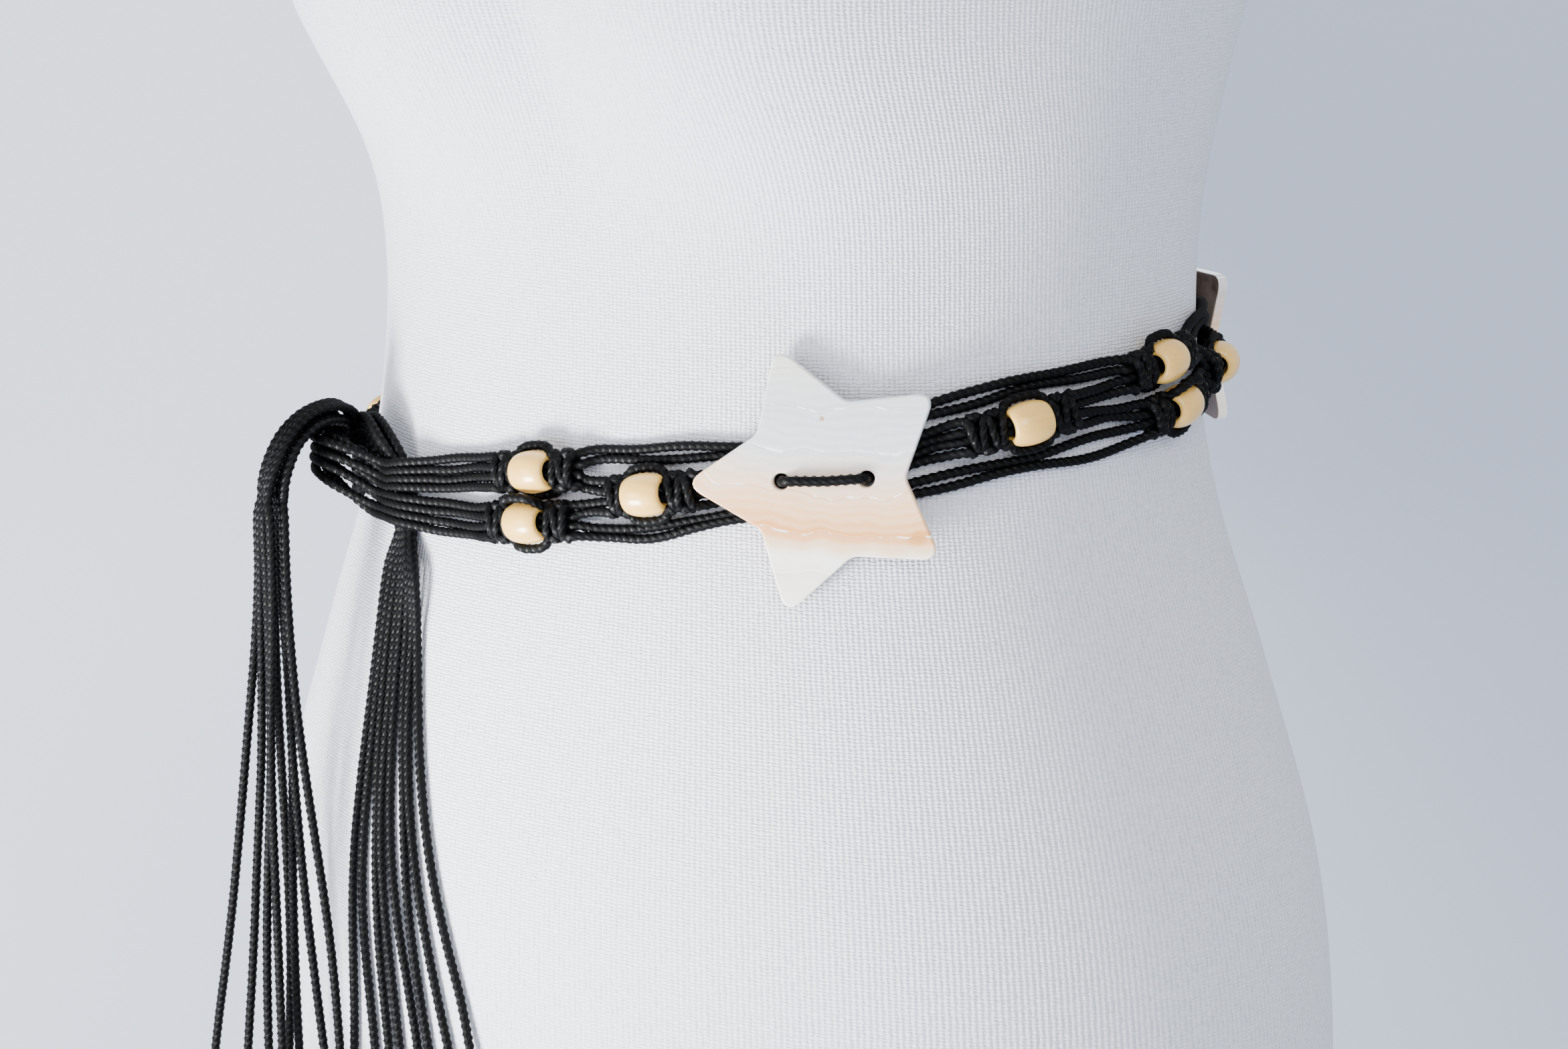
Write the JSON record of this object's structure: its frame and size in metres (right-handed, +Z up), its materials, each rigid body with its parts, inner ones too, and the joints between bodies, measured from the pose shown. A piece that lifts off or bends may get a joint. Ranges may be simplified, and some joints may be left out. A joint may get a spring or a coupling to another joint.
{
  "type": "square-knotted fringe belt on a dress form",
  "caption": "Black cord belt of square knots with lacquered wooden beads and shell stars, tied at the hip with a long cord fringe, on a limbless dress form.",
  "frame": {"origin": "middle of the dress form's flat underside, on the surface it stands on", "axes": "+Z up the form, the form faces -Y, +X towards the form's left side; the tie hangs at its right hip"},
  "size_m": [0.325, 0.2383, 0.715],
  "materials": {
    "jersey": "fine rib-knit cotton jersey, matt, pulled smooth over a foam torso",
    "cord": "black waxed cotton cord, twisted, with a dull sheen",
    "wood": "pale turned wood under clear gloss lacquer",
    "shell": "polished shell, pearly grey-white with peach bands and ochre spots"
  },
  "bodies": {
    "root": {"dress_form": "jersey", "band_stretch_1": "cord", "band_stretch_2": "cord", "band_stretch_3": "cord", "band_stretch_4": "cord", "pair_bead_1_upper": "wood", "pair_bead_1_lower": "wood", "pair_bead_2_upper": "wood", "pair_bead_2_lower": "wood", "pair_bead_3_upper": "wood", "pair_bead_3_lower": "wood", "pair_bead_4_upper": "wood", "pair_bead_4_lower": "wood", "middle_bead_1": "wood", "middle_bead_2": "wood", "middle_bead_3": "wood", "middle_bead_4": "wood", "middle_bead_5": "wood", "middle_bead_6": "wood", "shell_star_1": "shell", "shell_star_2": "shell", "shell_star_3": "shell", "star_lacing_1": "cord", "star_lacing_2": "cord", "star_lacing_3": "cord", "tie_knot": "cord", "fringe_back": "cord", "fringe_front": "cord"}
  },
  "joints": []
}
